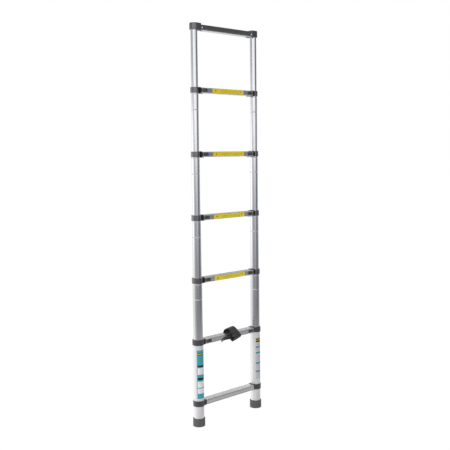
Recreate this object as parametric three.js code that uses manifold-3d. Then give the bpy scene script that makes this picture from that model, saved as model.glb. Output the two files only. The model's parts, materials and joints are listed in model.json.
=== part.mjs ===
// Telescoping ladder: seven rungs on six nested tube stages, fully extended, 2.0 m tall.
// Millimetres, +Z up. X runs along the rungs and -Y is the front, where the thumb sliders are.
// Level 1 is the rung nearest the floor and level 7 is the top rung. Tube 1 is the base tube.
// Tube n carries the rung of level n + 1 on its top end, and slides inside tube n - 1.
// The origin is on the floor, at the centre of the whole object's footprint.

import * as THREE from 'three';
import { mergeVertices } from 'three/addons/utils/BufferGeometryUtils.js';
import Module from 'manifold-3d';

const wasm = await Module();
wasm.setup();

// ---- Driving dimensions ----
const LEVELS = 7;
const TUBES = 6;
const rungPitch = 310;
const topRungPitch = 302;
const firstLevelHeight = 116;
const stileSpacing = 410;
const clearance = 0.3;

const baseTubeRadius = 26.1;
const tubeRadiusStep = 1.95;
const tubeWall = 1.4;
const tubeOverlap = 109;
const tubeAboveLevel = 11;
const topTubeAboveLevel = 13;
const beadBelowLevel = 94.5;
const beadHalfWidth = 2;
const beadDepth = 0.5;

const collarHalfHeight = 14;
const collarWall = 3.2;
const collarEdge = 1.2;
const guideClearance = 0.4;
const flangeHeight = 31;
const flangeDepth = 50;
const flangeThickness = 12;
const flangeCorner = 12;
const neckHalfDepth = 14;
const neckHalfHeight = 12.5;
const collarToRungStart = 3.5;
const spigotLength = 12;

const rungHeight = 25;
const rungDepth = 44;
const rungWall = 1.7;
const rungCorner = 2.5;
const ridgeCount = 7;
const ridgePitch = 5.4;
const ridgeWidth = 2.4;
const ridgeHeight = 0.6;

const pinRadius = 4;
const pinTravel = 7.8;
const pinTailPastRungStart = 32;
const pegRadius = 2.2;
const sliderLength = 30;
const sliderHeight = 15;
const sliderPlate = 1.7;
const sliderPastRungStart = 24;
const gripLength = 22;
const gripHeight = 9;
const gripProud = 2.6;

const capRadius = 22.3;
const capReach = 30;
const capTop = 17;
const capBottom = 16;
const capBevel = 1.5;
const capCorner = 3;
const capLugHeight = 2.5;
const capLugStart = 14;
const coverThickness = 1.8;
const coverAboveRungBottom = 3.5;
const topSectionHeight = 26;
const topSectionDrop = 3;

const footRadius = 30.5;
const footTopRadius = 30;
const footHeight = 40;
const footFloor = 5;
const footEdge = 3.5;

const strapWidth = 50;
const strapLeftEdge = -8;
const strapThickness = 2.6;
const strapSteps = 32;
const tailThickness = 2;
const tailTop = -1;
const tailBottom = -15;
const tailFlatEnd = -47;
const tailTip = -70;
const tailRoot = 30;

const roundSegments = 20;
const footSegments = 24;
const pinSegments = 8;
const cornerSegments = 2;

// ---- Sizes worked out from the driving dimensions ----
const pitchBelow = (level) => (level === LEVELS ? topRungPitch : rungPitch);
const levelHeight = (level) => (
  level === 1 ? firstLevelHeight : levelHeight(level - 1) + pitchBelow(level)
);
const tubeRadius = (tube) => baseTubeRadius - tubeRadiusStep * (tube - 1);
const carrierRadius = (level) => tubeRadius(Math.max(level - 1, 1));
const rungStart = (level) => carrierRadius(level) + collarWall + collarToRungStart;
const sides = ['left', 'right'];

// ---- Materials ----
function material(color, roughness, metalness) {
  return new THREE.MeshStandardMaterial({ color, roughness, metalness });
}

const anodised = () => material(0xc9ccd1, 0.32, 0.95);
const extruded = () => material(0xb9bbc0, 0.42, 0.9);
const darkPlastic = () => material(0x4d4a52, 0.55, 0);
const blackPlastic = () => material(0x26252a, 0.5, 0);
const footRubber = () => material(0x58595c, 0.8, 0);
const pinSteel = () => material(0xa8aaad, 0.3, 1);
const blackWebbing = () => material(0x2f3032, 0.95, 0);

// ---- Shape helpers ----
function solid(geometry) {
  const bare = geometry.clone();
  bare.deleteAttribute('normal');
  bare.deleteAttribute('uv');
  const merged = mergeVertices(bare, 1e-3);
  const vertProperties = new Float32Array(merged.attributes.position.array);
  const triVerts = new Uint32Array(merged.index.array);
  return new wasm.Manifold(new wasm.Mesh({ numProp: 3, vertProperties, triVerts }));
}

function geometryOf(manifold) {
  const mesh = manifold.getMesh();
  const geometry = new THREE.BufferGeometry();
  geometry.setAttribute('position', new THREE.BufferAttribute(mesh.vertProperties, 3));
  geometry.setIndex(new THREE.BufferAttribute(mesh.triVerts, 1));
  geometry.computeVertexNormals();
  return geometry;
}

function join(first, ...others) {
  return others.reduce((sum, next) => sum.add(solid(next)), solid(first));
}

// A closed outline of [radius, height] points turned about the Z axis.
function turned(outline, segments) {
  const points = outline.map(([radius, height]) => new THREE.Vector2(radius, height));
  return new THREE.LatheGeometry(points, segments).rotateX(Math.PI / 2);
}

// A ring outline closes on itself, so its first point is repeated at the end.
function turnedRing(outline, segments) {
  return turned([...outline, outline[0]], segments);
}

function block([x0, x1], [y0, y1], [z0, z1]) {
  const geometry = new THREE.BoxGeometry(x1 - x0, y1 - y0, z1 - z0);
  return geometry.translate((x0 + x1) / 2, (y0 + y1) / 2, (z0 + z1) / 2);
}

function rodAlongX(radius, x0, x1) {
  const rod = new THREE.CylinderGeometry(radius, radius, x1 - x0, pinSegments);
  return rod.rotateZ(Math.PI / 2).translate((x0 + x1) / 2, 0, 0);
}

function rodAlongY(radius, y0, y1) {
  const rod = new THREE.CylinderGeometry(radius, radius, y1 - y0, pinSegments);
  return rod.translate(0, (y0 + y1) / 2, 0);
}

// A shape drawn in (Y, Z) and pushed along X from x0 to x1.
function alongX(shape, x0, x1) {
  const options = { depth: x1 - x0, bevelEnabled: false };
  const axes = new THREE.Matrix4().makeBasis(
    new THREE.Vector3(0, 1, 0),
    new THREE.Vector3(0, 0, 1),
    new THREE.Vector3(1, 0, 0),
  );
  const geometry = new THREE.ExtrudeGeometry(shape, options);
  return geometry.applyMatrix4(axes).translate(x0, 0, 0);
}

// A shape drawn in (X, Z) and pushed along -Y from the plane y.
function alongMinusY(shape, y, thickness) {
  const options = { depth: thickness, bevelEnabled: false };
  return new THREE.ExtrudeGeometry(shape, options).rotateX(Math.PI / 2).translate(0, y, 0);
}

// Points of an arc round [x, y], between two angles given in quarter turns.
function arc([x, y], radius, from, to, segments = cornerSegments) {
  const quarter = Math.PI / 2;
  const curve = new THREE.EllipseCurve(x, y, radius, radius, from * quarter, to * quarter);
  return curve.getPoints(segments);
}

function roundedRectangle(width, height, radius, segments = cornerSegments) {
  const x = width / 2 - radius;
  const y = height / 2 - radius;
  return new THREE.Shape([
    ...arc([x, y], radius, 0, 1, segments),
    ...arc([-x, y], radius, 1, 2, segments),
    ...arc([-x, -y], radius, 2, 3, segments),
    ...arc([x, -y], radius, 3, 4, segments),
  ]);
}

// Pieces are drawn for the left stile, with the rung towards +X. This makes the right-hand one.
function mirrored(geometry) {
  const copy = geometry.clone().scale(-1, 1, 1);
  const index = copy.index.array;
  for (let i = 0; i < index.length; i += 3) {
    [index[i], index[i + 1]] = [index[i + 1], index[i]];
  }
  return copy;
}

// ---- Tubes ----
function tubeGeometry(tube) {
  const outer = tubeRadius(tube);
  const inner = outer - tubeWall;
  const top = tube === TUBES ? topTubeAboveLevel : tubeAboveLevel;
  const bottom = tube === 1
    ? footFloor + clearance - levelHeight(2)
    : -(pitchBelow(tube + 1) + tubeOverlap);
  const outline = [[inner, bottom], [outer, bottom], [outer, top], [inner, top]];
  if (tube < TUBES) {
    const bead = [
      [outer, -beadBelowLevel - beadHalfWidth],
      [outer - beadDepth, -beadBelowLevel],
      [outer, -beadBelowLevel + beadHalfWidth],
    ];
    outline.splice(2, 0, ...bead);
  }
  let body = solid(turnedRing(outline, roundSegments));
  const hole = rodAlongX(pinRadius + clearance, 0, outer + 1);
  if (tube < TUBES) body = body.subtract(solid(hole));
  if (tube > 1) body = body.subtract(solid(hole.clone().translate(0, 0, -pitchBelow(tube + 1))));
  return geometryOf(body);
}

// ---- Collars: a ring on the carrying tube, a neck, a flange and a spigot inside the rung ----
function collarOutside(level, halfHeight) {
  const radius = carrierRadius(level) + collarWall;
  const start = rungStart(level);
  const ring = turned([
    [0, -halfHeight],
    [radius - collarEdge, -halfHeight],
    [radius, collarEdge - halfHeight],
    [radius, halfHeight - collarEdge],
    [radius - collarEdge, halfHeight],
    [0, halfHeight],
  ], roundSegments);
  const neck = block(
    [carrierRadius(level) - collarWall, start - 1],
    [-neckHalfDepth, neckHalfDepth],
    [-neckHalfHeight, neckHalfHeight],
  );
  const plate = roundedRectangle(flangeDepth, flangeHeight, flangeCorner);
  const flange = alongX(plate, start - flangeThickness, start);
  return join(ring, neck, flange, spigot(start, rungDepth, rungHeight));
}

function spigot(start, sectionDepth, sectionHeight) {
  const y = sectionDepth / 2 - rungWall - clearance;
  const z = sectionHeight / 2 - rungWall - clearance;
  return block([start - 1, start + spigotLength], [-y, y], [-z, z]);
}

function collarGeometry(level) {
  const socket = carrierRadius(level) + clearance;
  const guide = tubeRadius(level) + guideClearance;
  const shoulder = tubeAboveLevel + clearance;
  const end = flangeHeight / 2 + 1;
  const bore = turned([
    [0, -end],
    [socket, -end],
    [socket, shoulder],
    [guide, shoulder],
    [guide, end],
    [0, end],
  ], roundSegments);
  const pinBore = rodAlongX(pinRadius + clearance, 0, rungStart(level) + spigotLength + 1);
  const body = collarOutside(level, collarHalfHeight);
  return geometryOf(body.subtract(solid(bore)).subtract(solid(pinBore)));
}

function bottomBracketGeometry() {
  const socket = baseTubeRadius + clearance;
  const end = flangeHeight / 2 + 1;
  const bore = turned([[0, -end], [socket, -end], [socket, end], [0, end]], roundSegments);
  return geometryOf(collarOutside(1, collarHalfHeight).subtract(solid(bore)));
}

// ---- Top caps ----
function capOutline() {
  const straight = capReach - capCorner;
  const side = capRadius - capCorner;
  return new THREE.Shape([
    ...arc([0, 0], capRadius, 1, 3, roundSegments / 2),
    ...arc([straight, -side], capCorner, 3, 4),
    ...arc([straight, side], capCorner, 0, 1),
  ]);
}

function capGeometry() {
  const shell = new THREE.ExtrudeGeometry(capOutline(), {
    depth: capTop + capBottom - 2 * capBevel,
    bevelThickness: capBevel,
    bevelSize: capBevel,
    bevelOffset: -capBevel,
    bevelSegments: 1,
  }).translate(0, 0, capBevel - capBottom);
  const lugSide = capRadius - capCorner;
  const lug = block([capLugStart, capReach], [-lugSide, lugSide], [-capBottom - capLugHeight, 0]);
  const body = join(shell, lug, spigot(capReach, topRungDepth, topRungHeight)
    .translate(0, 0, topRungOffset));
  const socket = tubeRadius(TUBES) + clearance;
  const roof = topTubeAboveLevel + clearance;
  const floor = -capBottom - capLugHeight - 1;
  const bore = turned([[0, floor], [socket, floor], [socket, roof], [0, roof]], roundSegments);
  return geometryOf(body.subtract(solid(bore)));
}

// ---- Rungs ----
// Ridges along the whole tread, as points of the section from front to back.
function ridges(z) {
  const points = [];
  for (let i = 0; i < ridgeCount; i += 1) {
    const middle = ridgePitch * ((ridgeCount - 1) / 2 - i);
    points.push(new THREE.Vector2(middle + ridgeWidth / 2, z));
    points.push(new THREE.Vector2(middle + ridgeWidth / 4, z + ridgeHeight));
    points.push(new THREE.Vector2(middle - ridgeWidth / 4, z + ridgeHeight));
    points.push(new THREE.Vector2(middle - ridgeWidth / 2, z));
  }
  return points;
}

function rungOutline(depth, height, tread) {
  const y = depth / 2 - rungCorner;
  const z = height / 2 - rungCorner;
  const shape = new THREE.Shape([
    ...arc([-y, -z], rungCorner, 2, 3),
    ...arc([y, -z], rungCorner, 3, 4),
    ...arc([y, z], rungCorner, 0, 1),
    ...tread,
    ...arc([-y, z], rungCorner, 1, 2),
  ]);
  const hollowY = depth / 2 - rungWall;
  const hollowZ = height / 2 - rungWall;
  shape.holes.push(new THREE.Path([
    new THREE.Vector2(-hollowY, -hollowZ),
    new THREE.Vector2(-hollowY, hollowZ),
    new THREE.Vector2(hollowY, hollowZ),
    new THREE.Vector2(hollowY, -hollowZ),
  ]));
  return shape;
}

// Rungs 2 to 6 have a slot in the front wall at each end for the thumb slider's peg.
function rungGeometry(level) {
  const half = stileSpacing / 2 - rungStart(level) - clearance;
  const section = rungOutline(rungDepth, rungHeight, ridges(rungHeight / 2));
  const plain = alongX(section, -half, half);
  if (level === 1) return plain;
  const pegEnd = rungStart(level) + sliderPastRungStart - stileSpacing / 2;
  const slotX = [pegEnd - pinTravel - pegRadius - clearance, pegEnd + pegRadius + clearance];
  const slotY = [-rungDepth / 2 - 1, -rungDepth / 2 + rungWall + 1];
  const slotZ = [-pegRadius - clearance, pegRadius + clearance];
  const leftSlot = block(slotX, slotY, slotZ);
  const rightSlot = block([-slotX[1], -slotX[0]], slotY, slotZ);
  return geometryOf(solid(plain).subtract(solid(leftSlot)).subtract(solid(rightSlot)));
}

// The top rung is smaller, so that its moulded cover brings it to the size of the others.
const topRungDepth = rungDepth - 2 * (coverThickness + clearance);
const topRungHeight = topSectionHeight - coverThickness - clearance;
const topRungOffset = -(coverThickness + clearance) / 2 - topSectionDrop;
const topRungHalfLength = stileSpacing / 2 - capReach - clearance;

function topRungGeometry() {
  const outline = rungOutline(topRungDepth, topRungHeight, []);
  return alongX(outline, -topRungHalfLength, topRungHalfLength).translate(0, 0, topRungOffset);
}

function treadCoverGeometry() {
  const y = rungDepth / 2;
  const top = topSectionHeight / 2 - topSectionDrop;
  const bottom = top - topSectionHeight + coverAboveRungBottom;
  const inside = y - coverThickness;
  const section = new THREE.Shape([
    new THREE.Vector2(inside, bottom),
    new THREE.Vector2(y, bottom),
    ...arc([y - rungCorner, top - rungCorner], rungCorner, 0, 1),
    ...ridges(top),
    ...arc([rungCorner - y, top - rungCorner], rungCorner, 1, 2),
    new THREE.Vector2(-y, bottom),
    new THREE.Vector2(-inside, bottom),
    new THREE.Vector2(-inside, top - coverThickness),
    new THREE.Vector2(inside, top - coverThickness),
  ]);
  return alongX(section, -topRungHalfLength, topRungHalfLength);
}

// ---- Locks, drawn back clear of the sliding tube ----
function lockPinGeometry(level) {
  const tip = tubeRadius(level) + guideClearance;
  const tail = rungStart(level) + pinTailPastRungStart;
  const peg = rungStart(level) + sliderPastRungStart;
  const hole = rodAlongY(pegRadius + clearance, -pinRadius - 1, 0).translate(peg, 0, 0);
  return geometryOf(solid(rodAlongX(pinRadius, tip, tail)).subtract(solid(hole)));
}

function thumbSliderGeometry(level) {
  const middle = rungStart(level) + sliderPastRungStart;
  const face = -rungDepth / 2 - clearance;
  const plate = roundedRectangle(sliderLength, sliderHeight, 3, 1);
  const grip = roundedRectangle(gripLength, gripHeight, 2, 1);
  const parts = [
    alongMinusY(plate, face, sliderPlate),
    alongMinusY(grip, face - sliderPlate / 2, gripProud + sliderPlate / 2),
    rodAlongY(pegRadius, face - sliderPlate / 2, -1),
  ];
  return geometryOf(join(...parts)).translate(middle, 0, 0);
}

// ---- Feet ----
function footGeometry() {
  const socket = baseTubeRadius + clearance;
  return turned([
    [0, 0],
    [footRadius - footEdge, 0],
    [footRadius, footEdge],
    [footTopRadius, footHeight],
    [socket, footHeight],
    [socket, footFloor],
    [0, footFloor],
  ], footSegments);
}

// ---- Strap: a wide loop round the second rung, and a narrow tail along its front ----
// Points of the loop's outside in (Y, Z), from behind the rung over its top to the front.
function strapCurve() {
  const back = rungDepth / 2 + clearance + strapThickness + 1;
  const under = -rungHeight / 2 - clearance - strapThickness;
  const points = [
    [back, under + 3],
    [back, rungHeight / 2],
    [rungDepth / 2 - 6, 28],
    [0, 35],
    [-13, 35.5],
    [-26, 30],
    [-47, 14.5],
    [-59, 3],
    [-56, -11],
    [-46, -24],
    [-36, -22],
    [-25, under - 0.5],
    [0, under - 0.5],
    [back - 5, under - 0.5],
  ];
  const line = points.map(([y, z]) => new THREE.Vector3(y, z, 0));
  return new THREE.CatmullRomCurve3(line, true, 'centripetal');
}

function strapGeometry() {
  const curve = strapCurve();
  const outside = [];
  const inside = [];
  for (let i = 0; i < strapSteps; i += 1) {
    const point = curve.getPoint(i / strapSteps);
    const tangent = curve.getTangent(i / strapSteps);
    outside.push(new THREE.Vector2(point.x, point.y));
    inside.push(new THREE.Vector2(
      point.x - strapThickness * tangent.y,
      point.y + strapThickness * tangent.x,
    ));
  }
  const band = new THREE.Shape(outside);
  band.holes.push(new THREE.Path(inside));
  const loop = alongX(band, strapLeftEdge, strapLeftEdge + strapWidth);
  const tail = new THREE.Shape([
    new THREE.Vector2(tailRoot, tailTop),
    new THREE.Vector2(tailFlatEnd, tailTop),
    new THREE.Vector2(tailFlatEnd - 5, tailTop - 5),
    new THREE.Vector2(tailTip, tailBottom + 1),
    new THREE.Vector2(tailTip, tailBottom - 5),
    new THREE.Vector2(tailFlatEnd - 8, tailBottom - 3),
    new THREE.Vector2(tailFlatEnd, tailBottom),
    new THREE.Vector2(tailRoot, tailBottom),
  ]);
  const tailStrip = alongMinusY(tail, -rungDepth / 2 - clearance, tailThickness);
  return geometryOf(join(loop, tailStrip));
}

// ---- Assembly ----
function mesh(name, geometry, finish) {
  const piece = new THREE.Mesh(geometry, finish);
  piece.name = name;
  return piece;
}

function place(parent, piece, height) {
  piece.position.z = height;
  parent.add(piece);
}

function buildStile(side) {
  const stile = new THREE.Group();
  stile.position.x = side === 'left' ? -stileSpacing / 2 : stileSpacing / 2;
  const handed = (geometry) => (side === 'left' ? geometry : mirrored(geometry));

  place(stile, mesh(`foot_${side}`, handed(footGeometry()), footRubber()), 0);
  const bracket = mesh(`bracket_1_${side}`, handed(bottomBracketGeometry()), darkPlastic());
  place(stile, bracket, levelHeight(1));
  for (let tube = 1; tube <= TUBES; tube += 1) {
    const piece = mesh(`tube_${tube}_${side}`, handed(tubeGeometry(tube)), anodised());
    place(stile, piece, levelHeight(tube + 1));
  }
  for (let level = 2; level < LEVELS; level += 1) {
    const collar = mesh(`collar_${level}_${side}`, handed(collarGeometry(level)), darkPlastic());
    const pin = mesh(`lock_pin_${level}_${side}`, handed(lockPinGeometry(level)), pinSteel());
    const slider = handed(thumbSliderGeometry(level));
    place(stile, collar, levelHeight(level));
    place(stile, pin, levelHeight(level));
    place(stile, mesh(`thumb_slider_${level}_${side}`, slider, blackPlastic()), levelHeight(level));
  }
  place(stile, mesh(`cap_${side}`, handed(capGeometry()), darkPlastic()), levelHeight(LEVELS));
  return stile;
}

function buildRungs() {
  const rungs = new THREE.Group();
  for (let level = 1; level < LEVELS; level += 1) {
    place(rungs, mesh(`rung_${level}`, rungGeometry(level), extruded()), levelHeight(level));
  }
  place(rungs, mesh(`rung_${LEVELS}`, topRungGeometry(), extruded()), levelHeight(LEVELS));
  place(rungs, mesh('tread_cover', treadCoverGeometry(), blackPlastic()), levelHeight(LEVELS));
  return rungs;
}

const ladder = new THREE.Group();
for (const side of sides) ladder.add(buildStile(side));
ladder.add(buildRungs());
const strap = mesh('strap', strapGeometry(), blackWebbing());
place(ladder, strap, levelHeight(2));

// The strap bulges to the front, so the stiles stand behind the centre of the footprint.
strap.geometry.computeBoundingBox();
ladder.position.y = (-strap.geometry.boundingBox.min.y - footRadius) / 2;

export default ladder;
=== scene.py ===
"""Telescoping ladder: finished surfaces, labels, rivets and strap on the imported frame, in a pale studio.

Shapes are drawn in millimetres and turned into metres when they become pieces.
A shape of one stile end is drawn round the stile's axis at its level's height, with the rung towards +X.
"""

import json
import math

import bmesh
import bpy
from mathutils import Matrix, Vector


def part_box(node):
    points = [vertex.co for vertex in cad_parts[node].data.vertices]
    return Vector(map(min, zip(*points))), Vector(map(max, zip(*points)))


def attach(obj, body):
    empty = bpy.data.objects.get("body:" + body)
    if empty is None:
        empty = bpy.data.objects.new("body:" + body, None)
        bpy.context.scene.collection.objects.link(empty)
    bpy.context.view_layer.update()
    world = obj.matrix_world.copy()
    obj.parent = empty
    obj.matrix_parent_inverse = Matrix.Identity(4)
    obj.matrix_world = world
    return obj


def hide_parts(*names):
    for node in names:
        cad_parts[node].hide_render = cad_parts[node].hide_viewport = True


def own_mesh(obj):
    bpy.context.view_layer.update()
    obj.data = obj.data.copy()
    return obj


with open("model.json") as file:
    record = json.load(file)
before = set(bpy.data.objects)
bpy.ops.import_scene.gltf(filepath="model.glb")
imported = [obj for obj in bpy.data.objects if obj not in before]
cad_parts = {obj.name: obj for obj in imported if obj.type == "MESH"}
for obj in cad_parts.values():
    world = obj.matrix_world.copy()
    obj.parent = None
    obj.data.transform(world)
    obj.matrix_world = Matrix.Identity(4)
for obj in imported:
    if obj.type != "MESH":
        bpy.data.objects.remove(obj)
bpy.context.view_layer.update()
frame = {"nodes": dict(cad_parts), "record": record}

MM = 0.001
SIDES = ("left", "right")
INWARDS = {"left": 1, "right": -1}
LEVELS = 7
TUBES = 6
STRAP_LEVEL = 2
# Collars below this level take a lighter, less glossy copy of the collar moulding; its lighter colour is
# painted light.
FIRST_GLOSSY_LEVEL = 3


# ---- Sizes and places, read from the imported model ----
def box(node):
    """Lowest and highest corner of a CAD node, in millimetres."""
    low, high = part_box(node)
    return low / MM, high / MM


def middle(node):
    low, high = box(node)
    return (low + high) / 2


STILE_X = {side: middle(f"tube_1_{side}").x for side in SIDES}
STILE_Y = middle("tube_1_left").y
TUBE_RADIUS = {n: (box(f"tube_{n}_left")[1] - box(f"tube_{n}_left")[0]).x / 2 for n in range(1, TUBES + 1)}
LEVEL_Z = {1: middle("bracket_1_left").z}
for level in range(2, LEVELS):
    LEVEL_Z[level] = middle(f"collar_{level}_left").z
CAP_TOP = 17
LEVEL_Z[LEVELS] = box("cap_left")[1].z - CAP_TOP
CARRIER_RADIUS = {level: TUBE_RADIUS[max(level - 1, 1)] for level in range(1, LEVELS)}
RUNG_END = {level: box(f"rung_{level}")[0].x - STILE_X["left"] for level in range(1, LEVELS + 1)}
RUNG_DEPTH = (box("rung_1")[1] - box("rung_1")[0]).y
RUNG_HEIGHT = 2 * (LEVEL_Z[1] - box("rung_1")[0].z)
NODE_BODY = {node: body for body, nodes in frame["record"]["behaviour"]["bodies"].items() for node in nodes}

CLEARANCE = 0.3
TUBE_WALL = 1.4
COLLAR_WALL = 3.2
COLLAR_HALF_HEIGHT = 14
FLANGE_THICKNESS = 12
FLANGE_HEIGHT = 31
FLANGE_DEPTH = 50
FLANGE_CORNER = 12.5
NECK_DEPTH = 28
NECK_HEIGHT = 25
SPIGOT_LENGTH = 12
RUNG_WALL = 1.7
COVER_THICKNESS = 1.8
RIDGE_HEIGHT = 0.6
# Grooves: drop below the level, half width and depth.
BEAD = (94.5, 2.4, 0.7)
CRIMP = (19, 1.6, 0.45)
# Rivets: radius and how far they stand proud.
SMALL_RIVET = (2.8, 1.3)
LARGE_RIVET = (3.8, 1.6)
# Length, depth and height; then widths and heights.
BUMPER = (20, 15, 4.2)
RUNG_LABEL = (216, 21.6)
ESCUTCHEON = (37, 16.4)
# From the rung's end to the middle of the part.
BUMPER_INSET = 13
ESCUTCHEON_INSET = 20.7
RIVET_INSET = 6
TOP_RIVET_INSET = 4
PIN_TRAVEL = 7.8
PIN_RADIUS = 4
PEG_RADIUS = 2.2

ROUND = 72
SMALL_ROUND = 24
ON_AXIS = 1e-6
WELD = 1e-4


# ---- Outlines ----
def filleted(points, radius, steps=4):
    """A closed outline with its corners rounded. A point may carry its own radius as a third number."""
    out = []
    for i, point in enumerate(points):
        here = Vector(point[:2])
        towards = Vector(points[i - 1][:2]) - here
        away = Vector(points[(i + 1) % len(points)][:2]) - here
        wanted = point[2] if len(point) == 3 else radius
        half = towards.angle(away) / 2
        cut = min(wanted / math.tan(half), towards.length * 0.49, away.length * 0.49)
        if cut < WELD:
            out.append(tuple(here))
            continue
        towards.normalize()
        away.normalize()
        reach = cut * math.tan(half)
        centre = here + (towards + away).normalized() * (reach / math.sin(half))
        first = here + towards * cut - centre
        last = here + away * cut - centre
        start = math.atan2(first.y, first.x)
        turn = (math.atan2(last.y, last.x) - start + math.pi) % (2 * math.pi) - math.pi
        for k in range(steps + 1):
            angle = start + turn * k / steps
            out.append((centre.x + reach * math.cos(angle), centre.y + reach * math.sin(angle)))
    return out


def rectangle(width, height, radius, steps=4):
    x, y = width / 2, height / 2
    return filleted([(-x, -y), (x, -y), (x, y), (-x, y)], radius, steps)


def inset(outline, distance):
    """The outline moved inwards by a distance. It must run anticlockwise."""
    out = []
    for i, point in enumerate(outline):
        here = Vector(point)
        before = (here - Vector(outline[i - 1])).normalized()
        after = (Vector(outline[(i + 1) % len(outline)]) - here).normalized()
        along = (before + after).normalized()
        inwards = Vector((-along.y, along.x))
        stretch = max(inwards.dot(Vector((-before.y, before.x))), 0.4)
        out.append(tuple(here + inwards * (distance / stretch)))
    return out


# ---- Solids, as bmesh ----
def skin(rows, closed=False):
    """Joins rows of equally many points. Rows close on themselves, and a row of one point is a tip."""
    bm = bmesh.new()
    made = [[bm.verts.new(p) for p in row] for row in rows]
    pairs = list(zip(made, made[1:]))
    if closed:
        pairs.append((made[-1], made[0]))
    count = max(len(row) for row in made)
    for low, high in pairs:
        for i in range(count):
            j = (i + 1) % count
            corners = [low[i % len(low)], low[j % len(low)], high[j % len(high)], high[i % len(high)]]
            bm.faces.new(list(dict.fromkeys(corners)))
    if not closed:
        for row in (made[0], made[-1]):
            if len(row) > 2:
                bm.faces.new(row)
    bmesh.ops.recalc_face_normals(bm, faces=bm.faces)
    return bm


def turned(profile, segments=ROUND, ring=False):
    """A profile of (radius, height) turned about Z."""
    angles = [2 * math.pi * k / segments for k in range(segments)]
    rows = [[(r * math.cos(a), r * math.sin(a), z) for a in angles] if r > ON_AXIS else [(0, 0, z)]
            for r, z in profile]
    return skin(rows, closed=ring)


def on_axis(profile):
    """A profile whose points beside the axis lie exactly on it."""
    return [(0, z) if r < ON_AXIS else (r, z) for r, z in profile]


def disc_profile(radius, low, high, rim):
    return on_axis(filleted([(0, low, 0), (radius, low, rim), (radius, high, rim), (0, high, 0)], 0))


def rod(radius, start, end, rim=0.0):
    """A round bar along X."""
    bm = turned(disc_profile(radius, start, end, rim), SMALL_ROUND)
    bm.transform(Matrix.Rotation(math.radians(90), 4, "Y"))
    return bm


def pillow(outline, low, high, edge, steps=3):
    """An outline in XY raised from low to high, with rounded rims."""
    rows = []
    quarter = [math.radians(90) * k / steps for k in range(steps + 1)]
    for end, into, angles in ((low, edge, quarter), (high, -edge, quarter[::-1])):
        for angle in angles:
            ring = inset(outline, edge * (1 - math.sin(angle)))
            rows.append([(x, y, end + into * (1 - math.cos(angle))) for x, y in ring])
    return skin(rows)


def prism(outline, start, end, hollow=None):
    """A section in (Y, Z) pushed along X, with an optional hollow outline."""
    bm = bmesh.new()
    rims = []
    for points in [outline] + ([hollow] if hollow else []):
        low = [bm.verts.new((start, y, z)) for y, z in points]
        high = [bm.verts.new((end, y, z)) for y, z in points]
        for i in range(len(points)):
            j = (i + 1) % len(points)
            bm.faces.new((low[i], low[j], high[j], high[i]))
        rims.append((low, high))
    for which in (0, 1):
        edges = []
        for rim in rims:
            row = rim[which]
            edges += [bm.edges.get((row[i - 1], row[i])) for i in range(len(row))]
        bmesh.ops.triangle_fill(bm, edges=edges, use_beauty=True)
    bmesh.ops.recalc_face_normals(bm, faces=bm.faces)
    return bm


def facing_x(bm):
    """Turns a shape drawn in XY with height Z so that it is drawn in YZ with height X."""
    bm.transform(Matrix(((0, 0, 1, 0), (1, 0, 0, 0), (0, 1, 0, 0), (0, 0, 0, 1))))
    return bm


def facing_front(bm):
    """Turns a shape drawn in XY with height Z so that it is drawn in XZ with height towards -Y."""
    bm.transform(Matrix(((1, 0, 0, 0), (0, 0, -1, 0), (0, 1, 0, 0), (0, 0, 0, 1))))
    return bm


def moved(bm, x=0.0, y=0.0, z=0.0):
    bm.transform(Matrix.Translation((x, y, z)))
    return bm


def as_mesh(name, bm):
    mesh = bpy.data.meshes.new(name)
    bm.to_mesh(mesh)
    bm.free()
    return mesh


def as_object(name, data):
    made = bpy.data.objects.new(name, data)
    bpy.context.scene.collection.objects.link(made)
    return made


def merged(*shapes):
    """Puts separate solids in one mesh."""
    whole = bmesh.new()
    for bm in shapes:
        mesh = as_mesh("part", bm)
        whole.from_mesh(mesh)
        bpy.data.meshes.remove(mesh)
    return whole


def combined(base, tools, operation="DIFFERENCE"):
    """Cuts solids from the base, or joins them to it (UNION)."""
    holder = as_object("base", as_mesh("base", base))
    for tool in tools:
        other = as_object("tool", as_mesh("tool", tool))
        modifier = holder.modifiers.new("combine", "BOOLEAN")
        modifier.operation = operation
        modifier.solver = "EXACT"
        modifier.object = other
        graph = bpy.context.evaluated_depsgraph_get()
        result = bpy.data.meshes.new_from_object(holder.evaluated_get(graph))
        holder.modifiers.clear()
        holder.data = result
        bpy.data.objects.remove(other)
    bm = bmesh.new()
    bm.from_mesh(holder.data)
    bpy.data.objects.remove(holder)
    bmesh.ops.remove_doubles(bm, verts=bm.verts, dist=WELD)
    bmesh.ops.dissolve_degenerate(bm, edges=bm.edges, dist=WELD)
    return bm


# ---- Pieces ----
def piece(name, bm, body, finish, replaces=(), sharp=35, at=None):
    """Makes a piece from a shape in millimetres, gives it its finish and lets it ride on its body."""
    bm.transform(Matrix.Scale(MM, 4))
    mesh = as_mesh(name, bm)
    mesh.shade_smooth()
    mesh.set_sharp_from_angle(angle=math.radians(sharp))
    mesh.materials.append(finish)
    made = as_object(name, mesh)
    if at:
        made.location = Vector(at) * MM
    # Large faces keep their true direction where small rounded ones join them.
    made.modifiers.new("normals", "WEIGHTED_NORMAL").keep_sharp = True
    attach(made, body)
    if replaces:
        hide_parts(*replaces)
    return made


def at_stile(bm, side, z):
    """Moves a shape of a stile end to its stile and height, mirrored for the right stile."""
    if side == "right":
        bm.transform(Matrix.Scale(-1, 4, Vector((1, 0, 0))))
        bmesh.ops.reverse_faces(bm, faces=bm.faces)
    return moved(bm, STILE_X[side], STILE_Y, z)


def at_level(bm, level):
    """Moves a shape of a rung, drawn round the rung's middle, to its level."""
    return moved(bm, 0, STILE_Y, LEVEL_Z[level])


def rung_x(level, side, inset):
    """The X of a place at a distance inwards from a rung's end."""
    return STILE_X[side] + INWARDS[side] * (RUNG_END[level] + inset)


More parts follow.
